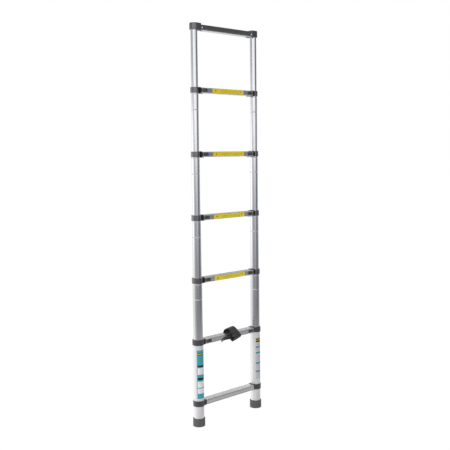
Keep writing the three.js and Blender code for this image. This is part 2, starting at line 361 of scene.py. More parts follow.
def fine(node, bm, finish, sharp=35):
    """A finer piece that stands for one CAD node."""
    return piece(f"{node}_fine", bm, NODE_BODY[node], finish, [node], sharp)


# ---- Node materials ----
class Shader:
    """A short way to write a material's nodes."""

    def __init__(self, name, tree=None):
        if tree is None:
            self.material = bpy.data.materials.new(name)
            self.material.use_nodes = True
            tree = self.material.node_tree
        self.tree = tree
        tree.nodes.clear()

    def node(self, kind, inputs=None, output=0, **settings):
        made = self.tree.nodes.new(kind)
        for key, value in settings.items():
            setattr(made, key, value)
        for key, value in (inputs or {}).items():
            if isinstance(value, bpy.types.NodeSocket):
                self.tree.links.new(value, made.inputs[key])
            else:
                made.inputs[key].default_value = value
        return made.outputs[output] if made.outputs else None

    def place(self, stretch=(1, 1, 1), kind="Object"):
        """The point being shaded, in metres, stretched along each axis."""
        where = self.node("ShaderNodeTexCoord", output=kind)
        return self.node("ShaderNodeMapping", {"Vector": where, "Scale": stretch})

    def noise(self, where, scale, detail, roughness=0.5):
        values = {"Vector": where, "Scale": scale, "Detail": detail, "Roughness": roughness}
        return self.node("ShaderNodeTexNoise", values)

    def math(self, operation, a, b):
        return self.node("ShaderNodeMath", {0: a, 1: b}, operation=operation)

    def times(self, a, b):
        return self.math("MULTIPLY", a, b)

    def axes(self, where):
        """The X, Y and Z of a place or direction."""
        return self.node("ShaderNodeSeparateXYZ", {0: where}).node.outputs

    def spread(self, value, low, high, out_low=0, out_high=1, smooth=True):
        kind = "SMOOTHSTEP" if smooth else "LINEAR"
        values = {"Value": value, "From Min": low, "From Max": high, "To Min": out_low, "To Max": out_high}
        return self.node("ShaderNodeMapRange", values, interpolation_type=kind)

    def ramp(self, value, stops, kind="CONSTANT"):
        color = self.node("ShaderNodeValToRGB", {0: value})
        color.node.color_ramp.interpolation = kind
        elements = color.node.color_ramp.elements
        while len(elements) < len(stops):
            elements.new(1.0)
        for element, (position, tone) in zip(elements, sorted(stops, key=lambda stop: stop[0])):
            element.position = position
            element.color = grey(tone) if isinstance(tone, (int, float)) else (*tone, 1)
        return color

    def stripes(self, value, *edges, first=0):
        """0 or 1, starting with first and changing at each edge."""
        return self.ramp(value, [(edge, (first + i) % 2) for i, edge in enumerate((0.0, *edges))])

    def mix(self, share, a, b):
        a, b = ((*value, 1) if isinstance(value, tuple) else value for value in (a, b))
        return self.node("ShaderNodeMix", {0: share, 6: a, 7: b}, output=2, data_type="RGBA")

    def bump(self, height, strength, distance):
        return self.node("ShaderNodeBump", {"Height": height, "Strength": strength, "Distance": distance})

    def surface(self, **inputs):
        names = {name.replace("_", " "): value for name, value in inputs.items()}
        shader = self.node("ShaderNodeBsdfPrincipled", names)
        self.node("ShaderNodeOutputMaterial", {"Surface": shader})
        return self.material


def grey(value):
    return (value, value, value, 1)


def shade(color, share):
    return tuple(c * share for c in color)


def drawn_metal(name, color, roughness, along, streaks=0.05, haze=0.06, metallic=1.0):
    """Drawn or extruded aluminium, with fine lines along one axis and faint handling marks."""
    shader = Shader(name)
    stretch = [1.0, 1.0, 1.0]
    stretch["XYZ".index(along)] = 0.012
    lines = shader.noise(shader.place(stretch), 1500, 3, 0.65)
    wide = shader.noise(shader.place(stretch), 260, 2, 0.5)
    marks = shader.noise(shader.place(), 9, 4, 0.6)
    tone = shader.mix(shader.spread(wide, 0.3, 0.7), shade(color, 1 - 1.6 * streaks), color)
    tone = shader.mix(shader.spread(marks, 0.45, 0.75, 0, 0.35), tone, shade(color, 0.93))
    rough = shader.math("ADD", shader.spread(lines, 0.3, 0.7, roughness - haze / 2, roughness + haze / 2),
                        shader.spread(marks, 0.4, 0.8, 0, haze))
    return shader.surface(
        Base_Color=tone, Metallic=metallic, Roughness=rough,
        Normal=shader.bump(lines, 0.06, 0.00002),
    )


def moulded(name, color, roughness, gloss=0.5, coat=0.0, index=1.5):
    """Moulded plastic: a fine spark-eroded grain, cloudy gloss and lighter rubbed edges."""
    shader = Shader(name)
    fine_grain = shader.noise(shader.place(), 2600, 2, 0.6)
    clouds = shader.noise(shader.place(), 38, 4, 0.6)
    rims = shader.node("ShaderNodeNewGeometry", output="Pointiness")
    worn_rims = shader.spread(rims, 0.52, 0.62, 0, 0.25)
    lighter = tuple(min(c * 2.1 + 0.02, 1) for c in color)
    tone = shader.mix(shader.spread(clouds, 0.3, 0.75), shade(color, 0.85), color)
    tone = shader.mix(worn_rims, tone, lighter)
    rough = shader.spread(clouds, 0.25, 0.8, roughness - 0.06, roughness + 0.08)
    return shader.surface(
        Base_Color=tone, Roughness=rough, IOR=index, Specular_IOR_Level=gloss,
        Coat_Weight=coat, Coat_Roughness=0.16, Normal=shader.bump(fine_grain, 0.12, 0.00006),
    )


def rubber(name, color):
    shader = Shader(name)
    pores = shader.noise(shader.place(), 1400, 3, 0.7)
    dust = shader.noise(shader.place(), 30, 5, 0.65)
    tone = shader.mix(shader.spread(dust, 0.4, 0.75, 0, 0.6), color, shade(color, 1.5))
    return shader.surface(
        Base_Color=tone, Roughness=shader.spread(pores, 0.3, 0.7, 0.6, 0.78),
        Specular_IOR_Level=0.35, Normal=shader.bump(pores, 0.25, 0.0001),
    )


def webbing(name, color):
    """Woven tape: warp ribs along the length crossed by weft, with fuzz."""
    shader = Shader(name)
    where = shader.place(kind="UV")
    warp, weft = (
        shader.node("ShaderNodeTexWave", {"Vector": where, "Scale": scale, "Distortion": 0.6, "Detail": 1.0},
                    output=1, bands_direction=direction)
        for scale, direction in ((290, "X"), (210, "Y"))
    )
    weave = shader.times(warp, weft)
    fuzz = shader.noise(shader.place(), 900, 4, 0.7)
    patches = shader.noise(shader.place(), 45, 3, 0.6)
    tone = shader.mix(shader.spread(weave, 0.1, 0.9), shade(color, 0.55), color)
    tone = shader.mix(shader.spread(patches, 0.4, 0.75, 0, 0.5), tone, shade(color, 1.5))
    height = shader.math("ADD", weave, shader.times(fuzz, 0.5))
    return shader.surface(
        Base_Color=tone, Roughness=0.92, Specular_IOR_Level=0.25, Sheen_Weight=0.2, Sheen_Roughness=0.5,
        Normal=shader.bump(height, 0.55, 0.0004),
    )


def rung_label():
    """A yellow stripe with two short red marks and plain grey rules in place of print."""
    shader = Shader("rung_label")
    where = shader.node("ShaderNodeTexCoord", output="UV")
    u, v = shader.axes(where)[:2]
    grain = shader.noise(shader.place(), 60, 3, 0.6)
    yellow = shader.mix(shader.spread(grain, 0.3, 0.7), (0.77, 0.61, 0.006), (0.86, 0.70, 0.012))
    rows = shader.stripes(v, 0.26, 0.36, 0.54, 0.66)
    dashes = shader.noise(shader.place((46, 7, 1), "UV"), 1.0, 1, 0.4)
    span = shader.stripes(u, 0.24, 0.86)
    ink = shader.times(shader.times(rows, span), shader.spread(dashes, 0.42, 0.5, 0, 0.75))
    tone = shader.mix(ink, yellow, (0.16, 0.14, 0.06))
    marks = shader.stripes(u, 0.075, 0.125, 0.89, 0.92)
    mark_rows = shader.stripes(v, 0.36, 0.7)
    tone = shader.mix(shader.times(marks, mark_rows), tone, (0.62, 0.12, 0.02))
    rim = shader.stripes(v, 0.06, 0.94, first=1)
    tone = shader.mix(shader.times(rim, 0.35), tone, (0.30, 0.24, 0.02))
    rough = shader.spread(grain, 0.3, 0.7, 0.32, 0.42)
    return shader.surface(Base_Color=tone, Roughness=rough, Specular_IOR_Level=0.3)


def tube_label(name, bands, rules, edge_color):
    """A wrapped sticker. Bands are (height share, colour), and faint lines go on and off at the rules."""
    shader = Shader(name)
    where = shader.node("ShaderNodeTexCoord", output="UV")
    u, v = shader.axes(where)[:2]
    inner = shader.ramp(v, bands)
    edge = shader.stripes(u, 0.06, 0.96, first=1)
    tone = shader.mix(edge, inner, edge_color)
    ruled = shader.stripes(v, *rules)
    lines = shader.node("ShaderNodeTexWave", {"Vector": where, "Scale": 14}, output=1, bands_direction="Y")
    breaks = shader.noise(shader.place((6, 60, 1), "UV"), 1.0, 2, 0.5)
    ink = shader.times(shader.spread(lines, 0.62, 0.7), shader.spread(breaks, 0.46, 0.52, 0, 0.5))
    inside = shader.stripes(u, 0.18, 0.86)
    ink = shader.times(ink, shader.times(ruled, inside))
    tone = shader.mix(ink, tone, (0.12, 0.13, 0.15))
    grain = shader.noise(shader.place(), 50, 3, 0.6)
    return shader.surface(Base_Color=tone, Roughness=shader.spread(grain, 0.3, 0.7, 0.3, 0.42))


# The right stile's label uses a darker teal and a greyer paper, darkened copies of the left label's colours:
# painted shade, as that label faces the studio's dark front right.
TEAL = (0.030, 0.330, 0.430)
SHADED_TEAL = (0.018, 0.20, 0.28)
YELLOW = (0.70, 0.55, 0.02)
BLACK = (0.012, 0.012, 0.014)
PAPER = (0.80, 0.80, 0.82)
SHADED_PAPER = (0.52, 0.52, 0.55)

tube_finish = drawn_metal("anodised_tube", (0.90, 0.90, 0.92), 0.15, "Z", streaks=0.02, haze=0.03)
base_finish = drawn_metal("base_tube", (0.90, 0.90, 0.90), 0.34, "Z", streaks=0.02, metallic=0.6)
rung_finish = drawn_metal("extruded_rung", (0.875, 0.87, 0.87), 0.26, "X", streaks=0.03)
collar_finish = moulded("dark_moulding", (0.030, 0.027, 0.034), 0.24, gloss=1.0, coat=1.0, index=1.82)
flange_finish = moulded("flange_moulding", (0.015, 0.014, 0.017), 0.45, gloss=0.35)
# A lighter, less glossy copy of the collar moulding for the lowest collars: its lighter colour is painted
# light, not a different plastic.
lit_low_collar_finish = moulded("low_moulding_painted_light", (0.040, 0.035, 0.046), 0.26, gloss=0.9, coat=0.35)
slider_finish = moulded("slider_plastic", (0.078, 0.076, 0.083), 0.38)
escutcheon_finish = moulded("escutcheon_plastic", (0.150, 0.150, 0.158), 0.40)
cover_finish = moulded("tread_plastic", (0.062, 0.063, 0.069), 0.42, gloss=0.7)
foot_finish = rubber("foot_rubber", (0.095, 0.096, 0.100))
pin_finish = drawn_metal("pin_steel", (0.62, 0.62, 0.63), 0.22, "X")
rivet_finish = drawn_metal("rivet_metal", (0.92, 0.92, 0.93), 0.28, "X", streaks=0.02)
pale_finish = moulded("pale_rivet", (0.80, 0.80, 0.82), 0.35)
bumper_finish = moulded("bumper_plastic", (0.55, 0.55, 0.57), 0.5)
strap_finish = webbing("strap_webbing", (0.050, 0.048, 0.047))
tip_finish = webbing("strap_tip", (0.20, 0.20, 0.205))
thread_finish = webbing("strap_thread", (0.11, 0.11, 0.115))


# ---- Tubes ----
def groove(radius, level, drop, half_width, depth):
    """A rolled groove in a tube, a drop below a level, as (radius, height) points from bottom to top."""
    steps = 8
    shares = [2 * k / steps - 1 for k in range(steps + 1)]
    z = LEVEL_Z[level] - drop
    return [(radius - depth * (0.5 + 0.5 * math.cos(math.pi * t)), z + half_width * t) for t in shares]


def build_tube(number, side):
    node = f"tube_{number}_{side}"
    low, high = box(node)
    outer = TUBE_RADIUS[number]
    inner = outer - TUBE_WALL
    level = number + 1
    outside = [(outer - 0.35, low.z), (outer, low.z + 0.35)]
    if number == 1:
        outside += groove(outer, 1, *CRIMP)
    if number < TUBES:
        outside += groove(outer, level, *BEAD) + groove(outer, level, *CRIMP)
    outside += [(outer, high.z - 0.35), (outer - 0.35, high.z)]
    profile = [(inner, low.z)] + outside + [(inner, high.z)]
    bm = turned(profile, ring=True)
    levels = [LEVEL_Z[level]] if number < TUBES else []
    if number > 1:
        levels.append(LEVEL_Z[number])
    holes = [moved(rod(PIN_RADIUS + CLEARANCE, outer - 6, outer + 3), z=z) for z in levels]
    bm = combined(bm, holes) if holes else bm
    finish = base_finish if number == 1 else tube_finish
    fine(node, at_stile(bm, side, 0), finish, sharp=40)


# ---- Collars and brackets ----
def spigot(rung_depth, rung_height, start):
    """The block that plugs into a rung's hollow end."""
    slack = 2 * (RUNG_WALL + CLEARANCE)
    section = rectangle(rung_depth - slack, rung_height - slack, 1)
    return facing_x(pillow(section, start - 1, start + SPIGOT_LENGTH, 0.6))


def collar_solid(level):
    start = RUNG_END[level] - CLEARANCE
    half = COLLAR_HALF_HEIGHT
    ring = turned(disc_profile(CARRIER_RADIUS[level] + COLLAR_WALL, -half, half, 1.6))
    neck = facing_x(pillow(rectangle(NECK_DEPTH, NECK_HEIGHT, 3), CARRIER_RADIUS[level] - 2, start - 1, 0.4))
    oval = rectangle(FLANGE_DEPTH, FLANGE_HEIGHT, FLANGE_CORNER, 8)
    plate = facing_x(pillow(oval, start - FLANGE_THICKNESS, start, 1.4, 4))
    return combined(ring, [neck, plate, spigot(RUNG_DEPTH, RUNG_HEIGHT, start)], "UNION"), start


def build_collar(level):
    solid, start = collar_solid(level)
    socket = CARRIER_RADIUS[level] + CLEARANCE
    end, far = COLLAR_HALF_HEIGHT, FLANGE_HEIGHT / 2 + 2
    name, tools = "bracket", []
    bore = [(0, -far), (socket + 1.9, -far), (socket + 1.9, -end - 1), (socket, -end + 0.9)]
    if level == 1:
        bore += [(socket, end - 0.9), (socket + 1.9, end + 1), (socket + 1.9, far), (0, far)]
    else:
        name, tools = "collar", [rod(PIN_RADIUS + CLEARANCE, 0, start + SPIGOT_LENGTH + 1)]
        guide = TUBE_RADIUS[level] + 0.4
        shoulder = 11.3
        bore += [(socket, shoulder), (guide, shoulder), (guide, end - 0.8), (guide + 1.8, end + 1),
                 (guide + 1.8, far), (0, far)]
    solid = combined(solid, [turned(bore)] + tools)
    # The lowest collars take the lighter copy of the moulding, whose colour is painted light.
    glossy = level >= FIRST_GLOSSY_LEVEL
    finish = collar_finish if glossy else lit_low_collar_finish
    for side in SIDES:
        node = f"{name}_{level}_{side}"
        made = fine(node, at_stile(solid.copy(), side, LEVEL_Z[level]), finish, sharp=32)
        if glossy:
            dull_flange(made, side, start - FLANGE_THICKNESS - 0.5)
    solid.free()


def dull_flange(made, side, first):
    """Gives a collar a duller finish from a distance inwards of the stile's axis, where its flange starts."""
    made.data.materials.append(flange_finish)
    for face in made.data.polygons:
        if INWARDS[side] * (face.center.x / MM - STILE_X[side]) > first:
            face.material_index = 1


# ---- Top caps ----
def build_caps():
    low, high = box("cap_left")
    radius = STILE_X["left"] - low.x
    reach = RUNG_END[LEVELS] - CLEARANCE
    top = high.z - LEVEL_Z[LEVELS]
    lug_bottom = low.z - LEVEL_Z[LEVELS]
    bottom = lug_bottom + 2.5
    half_turn = [(radius * math.cos(a), radius * math.sin(a))
                 for a in (math.radians(90 + 180 * k / 36) for k in range(37))]
    inner_half = filleted([(0, -radius), (reach, -radius, 4), (reach, radius, 4), (0, radius)], 0)
    outline = half_turn + inner_half[1:-1]
    shell = pillow(outline, bottom, top, 2.2, 5)
    panel = pillow(inset(outline, 3), top - 0.4, top + 0.4, 0.3, 2)
    lug_side = radius - 3
    lug = pillow(filleted([(14, -lug_side), (reach, -lug_side), (reach, lug_side), (14, lug_side)], 2.5),
                 lug_bottom, 0, 0.8)
    low_rung, high_rung = box("rung_7")
    plug = spigot(high_rung.y - low_rung.y, high_rung.z - low_rung.z, reach)
    moved(plug, z=(low_rung.z + high_rung.z) / 2 - LEVEL_Z[LEVELS])
    solid = combined(shell, [lug, plug, panel], "UNION")
    socket = TUBE_RADIUS[TUBES] + CLEARANCE
    roof = box("tube_6_left")[1].z - LEVEL_Z[LEVELS] + CLEARANCE
    floor = lug_bottom - 1
    bore = [(0, floor), (socket + 1.2, floor), (socket, floor + 2.4), (socket, roof), (0, roof)]
    solid = combined(solid, [turned(bore)])
    for side in SIDES:
        fine(f"cap_{side}", at_stile(solid.copy(), side, LEVEL_Z[LEVELS]), collar_finish, sharp=32)
    solid.free()


# ---- Rungs ----
def tread(z):
    """Rounded ridges across the tread, as (Y, Z) points from back to front."""
    points = []
    pitch, width, count = 5.4, 2.6, 7
    for i in range(count):
        centre = pitch * ((count - 1) / 2 - i)
        for across, up in ((0.5, 0.0), (0.36, 0.75), (0.18, 1.0), (-0.18, 1.0), (-0.36, 0.75), (-0.5, 0.0)):
            points.append((centre + width * across, z + RIDGE_HEIGHT * up))
    return points


def face_lines(y, heights, depth=0.45, half=0.7):
    """Shallow lengthwise grooves in an upright face at y, met going up the back or down the front."""
    way = math.copysign(1, y)
    points = []
    for z in sorted(heights, reverse=y < 0):
        points += [(y, z - half * way), (y - depth * way, z), (y, z + half * way)]
    return points


def rung_section(depth, height, corner, lines=(), ridged=True):
    rounded = rectangle(depth, height, corner, 5)
    quarter = len(rounded) // 4
    bottom, back_top, front_top = rounded[:2 * quarter], rounded[2 * quarter:-quarter], rounded[-quarter:]
    ridges = tread(height / 2) if ridged else []
    return (bottom + face_lines(depth / 2, lines) + back_top + ridges + front_top
            + face_lines(-depth / 2, lines))


def rung_bar(node, depth, height, corner, **details):
    """A rung's hollow extrusion along X, drawn round its middle."""
    low, high = box(node)
    hollow = rectangle(depth - 2 * RUNG_WALL, height - 2 * RUNG_WALL, 1, 2)
    return prism(rung_section(depth, height, corner, **details), low.x, high.x, hollow)


def peg_slot(level, side, near, far):
    """The slot that a slider's peg travels in, between two depths in front of the rung's middle."""
    centre = middle(f"thumb_slider_{level}_{side}").x
    width = 2 * (PEG_RADIUS + CLEARANCE)
    slot = pillow(rectangle(PIN_TRAVEL + width, width, width / 2 - 0.1), near, far, 0)
    return moved(facing_front(slot), centre - INWARDS[side] * PIN_TRAVEL / 2)


def build_rung(level):
    bm = rung_bar(f"rung_{level}", RUNG_DEPTH, RUNG_HEIGHT, 2.8, lines=(-6.5, 7.5))
    if level > 1:
        slots = [peg_slot(level, side, RUNG_DEPTH / 2 - 3, RUNG_DEPTH / 2 + 2) for side in SIDES]
        bm = combined(bm, slots)
    fine(f"rung_{level}", at_level(bm, level), rung_finish)


def build_escutcheon(level, side):
    """The thin dark plate on the rung's front that a thumb slider runs over."""
    face = RUNG_DEPTH / 2
    plate = pillow(rectangle(*ESCUTCHEON, 4.5, 6), face - 0.1, face + 0.24, 0.1, 1)
    plate = moved(facing_front(plate), rung_x(level, side, ESCUTCHEON_INSET))
    bm = combined(plate, [peg_slot(level, side, face - 1, face + 1)])
    body = NODE_BODY[f"rung_{level}"]
    piece(f"escutcheon_{level}_{side}", at_level(bm, level), body, escutcheon_finish)


def build_top_rung():
    low, high = box("rung_7")
    bm = rung_bar("rung_7", high.y - low.y, high.z - low.z, 2.5, ridged=False)
    fine("rung_7", moved(bm, 0, STILE_Y, (low.z + high.z) / 2), rung_finish)
    low, high = box("tread_cover")
    y = (high.y - low.y) / 2
    bottom, top = low.z, high.z - RIDGE_HEIGHT
    inside = y - COVER_THICKNESS
    upper = filleted([(y, bottom), (y, top), (-y, top), (-y, bottom)], 3.2, 5)
    corners = [p for p in upper if p[1] > (bottom + top) / 2]
    half = len(corners) // 2
    ribs = [bottom + rise for rise in (4.6, 8.6, 12.6, 16.6)]
    right = [(inside, bottom), (y, bottom)] + face_lines(y, ribs, 0.6, 1.1)
    left = face_lines(-y, ribs, 0.6, 1.1) + [(-y, bottom), (-inside, bottom)]
    roof = [(-inside, top - COVER_THICKNESS), (inside, top - COVER_THICKNESS)]
    outline = right + corners[:half] + tread(top) + corners[half:] + left + roof
    bm = prism(outline, low.x, high.x)
    fine("tread_cover", moved(bm, 0, STILE_Y, 0), cover_finish)


# ---- Locks ----
def build_lock(level, side):
    pin, slider = f"lock_pin_{level}_{side}", f"thumb_slider_{level}_{side}"
    start, end = sorted(INWARDS[side] * (corner.x - STILE_X[side]) for corner in box(pin))
    centre = INWARDS[side] * (middle(slider).x - STILE_X[side])
    bar = rod(PIN_RADIUS, start, end, 1.0)
    hole_width = 2 * (PEG_RADIUS + CLEARANCE)
    hole = pillow(rectangle(hole_width, hole_width, 2.5, 6), 0, PIN_RADIUS + 2, 0)
    bar = combined(bar, [moved(facing_front(hole), centre)])
    fine(pin, at_stile(bar, side, LEVEL_Z[level]), pin_finish)
    low, high = box(slider)
    face = RUNG_DEPTH / 2 + CLEARANCE
    front = STILE_Y - low.y
    length, height = high.x - low.x, high.z - low.z
    plate = pillow(rectangle(length, height, 3.5, 5), face, face + 1.7, 0.5)
    bed = pillow(rectangle(length - 8, height - 4.5, 2.5, 5), face + 1.2, face + 2.1, 0.4)
    grips = []
    count = 5
    for i in range(count):
        x = -7 + 14 * i / (count - 1)
        rise = 0.35 * abs(i - (count - 1) / 2)
        grip = pillow(rectangle(2.2, height - 6.5, 0.9), face + 1.8, front - 0.7 + rise, 0.5, 2)
        grips.append(moved(grip, x))
    stop = moved(pillow(rectangle(2.6, height - 6.5, 1.1), face + 1.2, front, 0.6, 2), -10)
    peg = pillow(rectangle(2 * PEG_RADIUS, 2 * PEG_RADIUS, PEG_RADIUS, 6), 1, face + 0.6, 0.3)
    bm = combined(plate, [bed, stop, peg] + grips, "UNION")
    bm = moved(facing_front(bm), centre)
    fine(slider, at_stile(bm, side, LEVEL_Z[level]), slider_finish)


# ---- Feet ----
def build_feet():
    low, high = box("foot_left")
    radius, height = (high.x - low.x) / 2, high.z - low.z
    socket = TUBE_RADIUS[1] + CLEARANCE
    sole = [(0, 2.2), (5, 2.2), (5.8, 0), (11, 0), (11.8, 2.2), (15, 2.2), (15.8, 0), (20.5, 0), (21.3, 2.2),
            (24, 2.2), (24.8, 0, 0.4), (radius - 2.2, 0.4, 1.5)]
    side_wall = [(radius, 6, 4), (radius, 9.5), (radius - 0.7, 10.2), (radius - 0.7, 11.4), (radius, 12.1),
                 (radius - 0.3, height - 3.6), (radius - 0.9, height - 3), (radius - 0.3, height - 2.4)]
    inside = [(radius - 0.5, height, 0.7), (socket, height, 0.5), (socket, 5), (0, 5)]
    profile = on_axis(filleted(sole + side_wall + inside, 0.25, 3))
    for side in SIDES:
        fine(f"foot_{side}", at_stile(turned(profile), side, low.z), foot_finish, sharp=30)


# ---- Rivets and bumpers ----
def rivet(radius, proud):
    """A domed rivet head with a mandrel mark, standing on the plane z = 0."""
    profile = [(0, -0.2), (radius, -0.2), (radius, 0.35), (radius * 0.86, proud * 0.62),
               (radius * 0.6, proud * 0.93), (radius * 0.36, proud), (radius * 0.3, proud - 0.25),
               (0, proud - 0.3)]
    return turned(profile, SMALL_ROUND)


def build_rivets():
    for level in range(1, LEVELS + 1):
        heads, pale = [], []
        face = RUNG_DEPTH / 2
        for side in SIDES:
            x = rung_x(level, side, RIVET_INSET if level < LEVELS else TOP_RIVET_INSET)
            if level == LEVELS:
                pale.append(moved(facing_front(rivet(*LARGE_RIVET)), x, STILE_Y - face, LEVEL_Z[level] - 4))
            elif level == 1:
                heads.append(moved(facing_front(rivet(*SMALL_RIVET)), x, STILE_Y - face, LEVEL_Z[level] + 1))
            back = facing_front(rivet(*SMALL_RIVET))
            back.transform(Matrix.Rotation(math.pi, 4, "Z"))
            heads.append(moved(back, x, STILE_Y + face, LEVEL_Z[level] + 1))
        body = NODE_BODY[f"rung_{level}"]
        piece(f"rivets_{level}", merged(*heads), body, rivet_finish)
        if pale:
            piece(f"front_rivets_{level}", merged(*pale), body, pale_finish)


def build_bumpers():
    """Small spacers under the rung ends, which keep fingers clear when the ladder is closed."""
    length, depth, height = BUMPER
    for level in range(2, LEVELS + 1):
        parts = []
        for side in SIDES:
            pad = pillow(rectangle(length, depth, 3), -height, 0.0, 0.8, 3)
            x = rung_x(level, side, BUMPER_INSET)
            parts.append(moved(pad, x, STILE_Y, LEVEL_Z[level] - RUNG_HEIGHT / 2))
        finish, slot = bumper_finish, "dark_moulding"
        if level == LEVELS:
            finish, slot = cover_finish, "tread_plastic"
        piece(f"bumpers_{level}", merged(*parts), NODE_BODY[f"rung_{level}"], finish)


# ---- Labels ----
def with_uv(bm, mapping):
    layer = bm.loops.layers.uv.new("UVMap")
    for face in bm.faces:
        for loop in face.loops:
            loop[layer].uv = mapping(loop.vert.co)
    return bm


def build_rung_labels():
    width, height = RUNG_LABEL
    finish = rung_label()
    for level in range(3, LEVELS):
        bm = facing_front(pillow(rectangle(width, height, 1.2), 0.0, 0.35, 0.12, 1))
        bm = with_uv(bm, lambda p: (p.x / width + 0.5, p.z / height + 0.5))
        at = (1, STILE_Y - RUNG_DEPTH / 2 - 0.02, LEVEL_Z[level])
        piece(f"rung_label_{level}", bm, NODE_BODY[f"rung_{level}"], finish, at=at)


def wrapped(radius, first, last, low, high):
    """A thin sticker round a tube, between two angles measured from -Y towards +X, with UVs over its face."""
    steps = 28
    near, far = radius + 0.05, radius + 0.3
    section = ((near, low), (far, low), (far, high), (near, high))
    rows = []
    for k in range(steps + 1):
        angle = math.radians(first + (last - first) * k / steps)
        rows.append([(r * math.sin(angle), r * -math.cos(angle), z) for r, z in section])
    bm = skin(rows)

    def uv(p):
        angle = math.degrees(math.atan2(p.x, -p.y))
        return ((angle - first) / (last - first), (p.z - low) / (high - low))

    return with_uv(bm, uv)


def build_tube_labels():
    left_bands = [(0.0, TEAL), (0.105, PAPER), (0.21, TEAL), (0.23, PAPER), (0.355, TEAL), (0.385, BLACK),
                  (0.43, TEAL), (0.50, PAPER), (0.63, TEAL), (0.655, BLACK), (0.69, TEAL), (0.895, BLACK),
                  (0.914, YELLOW), (0.928, BLACK), (0.945, TEAL)]
    left_rules = (0.12, 0.20, 0.24, 0.345, 0.52, 0.61, 0.71, 0.88)
    # The right label's darker teal and grey paper, also on its edges, are painted shade.
    right_bands = [(0.0, SHADED_PAPER), (0.165, SHADED_TEAL), (0.2, SHADED_PAPER), (0.365, SHADED_TEAL),
                   (0.4, SHADED_PAPER), (0.61, SHADED_TEAL), (0.645, SHADED_PAPER), (0.75, SHADED_TEAL),
                   (0.785, SHADED_PAPER), (0.885, BLACK), (0.922, YELLOW), (0.938, BLACK), (0.97, SHADED_PAPER)]
    right_rules = (0.03, 0.15, 0.22, 0.36, 0.42, 0.6, 0.66, 0.74, 0.8, 0.88)
    left = tube_label("tube_label_left", left_bands, left_rules, TEAL)
    right = tube_label("tube_label_right", right_bands, right_rules, SHADED_PAPER)
    radius = TUBE_RADIUS[1]
    for side, finish, first, last, low, high in (
        ("left", left, -58, 36, 144, 389),
        ("right", right, -43, 29, 158, 384),
    ):
        at = (STILE_X[side], STILE_Y, 0)
        bm = wrapped(radius, first, last, low, high)
        piece(f"tube_label_{side}", bm, "base", finish, at=at)


# ---- Strap ----
# Outside of the band in (Y, Z) from the level, at its left edge and at its right edge.
STRAP_LEFT = [(24.6, -15), (25.0, -2), (24.4, 12), (19, 24), (8, 33), (-5, 36), (-15, 35), (-25, 30.5),
              (-36, 23), (-47, 13.5), (-56, 5), (-58, -4), (-53, -16), (-46, -25), (-38, -24.5), (-30, -19),
              (-22, -16.6), (0, -16), (20, -16)]
STRAP_RIGHT = [(24.6, -15), (25.0, -2), (25, 12), (23, 25), (16, 35.5), (5, 41), (-7, 40), (-19, 35),
               (-32, 27), (-45, 16.5), (-56, 7), (-58.5, 2), (-56, -4), (-51, -9.5), (-42, -13), (-32, -14.5),
               (-22, -15.6), (0, -16), (20, -16)]
STRAP_X = (box("strap")[1].x - 50, box("strap")[1].x)
STRAP_THICKNESS = 2.4
TAIL_MIDDLE = -7.6


def smooth_loop(points, per_span):
    """A closed curve through (Y, Z) points."""
    count = len(points)
    out = []
    for i in range(count):
        p0, p1, p2, p3 = (Vector(points[(i + k - 1) % count]) for k in range(4))
        for s in range(per_span):
            t = s / per_span
            out.append(0.5 * ((2 * p1) + (p2 - p0) * t + (2 * p0 - 5 * p1 + 4 * p2 - p3) * t * t
                              + (3 * p1 - p0 - 3 * p2 + p3) * t ** 3))
    return out


def build_strap_band():
    """The wide loop: a band whose left and right edges hang a little differently."""
    per_span = 5
    left = smooth_loop(STRAP_LEFT, per_span)
    right = smooth_loop(STRAP_RIGHT, per_span)
    count = len(left)
    across = 12
    bm = bmesh.new()
    layer = bm.loops.layers.uv.new("UVMap")
    grid = []
    for i in range(count):
        column = []
        for j in range(across + 1):
            t = j / across
            here, before, after = (left[k % count].lerp(right[k % count], t) for k in (i, i - 1, i + 1))
            along = (after - before).normalized()
            normal = Vector((along.y, -along.x))
            crown = 0.25 * math.cos(math.pi * (t - 0.5))
            rim = 0.35 if j in (0, across) else 0.0
            x = STRAP_X[0] + (STRAP_X[1] - STRAP_X[0]) * t
            outer = here + normal * (crown - rim)
            inner = here - normal * (STRAP_THICKNESS - crown - rim)
            column.append((bm.verts.new((x, outer.x, outer.y)), bm.verts.new((x, inner.x, inner.y))))
        grid.append(column)
    run = 0.0
    for i in range(count):
        a, b = grid[i], grid[(i + 1) % count]
        length = (left[(i + 1) % count] - left[i]).length
        for j in range(across):
            for side in (0, 1):
                face = bm.faces.new((a[j][side], a[j + 1][side], b[j + 1][side], b[j][side]))
                us = (j, j + 1, j + 1, j)
                vs = (run, run, run + length, run + length)
                for loop, u, v in zip(face.loops, us, vs):
                    loop[layer].uv = (u / across * 0.05, v * MM)
        for j in (0, across):
            bm.faces.new((*a[j], b[j][1], b[j][0]))
        run += length
    bmesh.ops.recalc_face_normals(bm, faces=bm.faces)
    return bm


def build_strap_tail():
    """The narrow tail, flat on the rung's front, and the stiff pale tip that droops past it."""
    path = [(8, 0, 0), (-10, 0, 0), (-30, 0, 0), (-45, 0.3, -0.2), (-54, 1.2, -2.6), (-62, 2.2, -5.6),
            (-70, 2.6, -8.6)]
    half = [8.4, 8.4, 8.2, 7.6, 6.2, 5.2, 4.2]
    joint = 4
    face = -RUNG_DEPTH / 2 - CLEARANCE
    rows = []
    for (x, out, drop), h in zip(path, half):
        z = TAIL_MIDDLE + drop
        near, far = face - out, face - out - 1.9
        rows.append([(x, near, z - h), (x, far, z - h + 0.3), (x, far - 0.25, z), (x, far, z + h - 0.3),
                     (x, near, z + h)])
    parts = []
    for stretch in (rows[:joint + 1], rows[joint:]):
        bm = skin(stretch)
        long_edges = [e for e in bm.edges if abs(e.verts[0].co.x - e.verts[1].co.x) > 1]
        bmesh.ops.subdivide_edges(bm, edges=long_edges, cuts=4, use_grid_fill=True)
        parts.append(with_uv(bm, lambda p: (p.z * MM, p.x * MM)))
    return parts


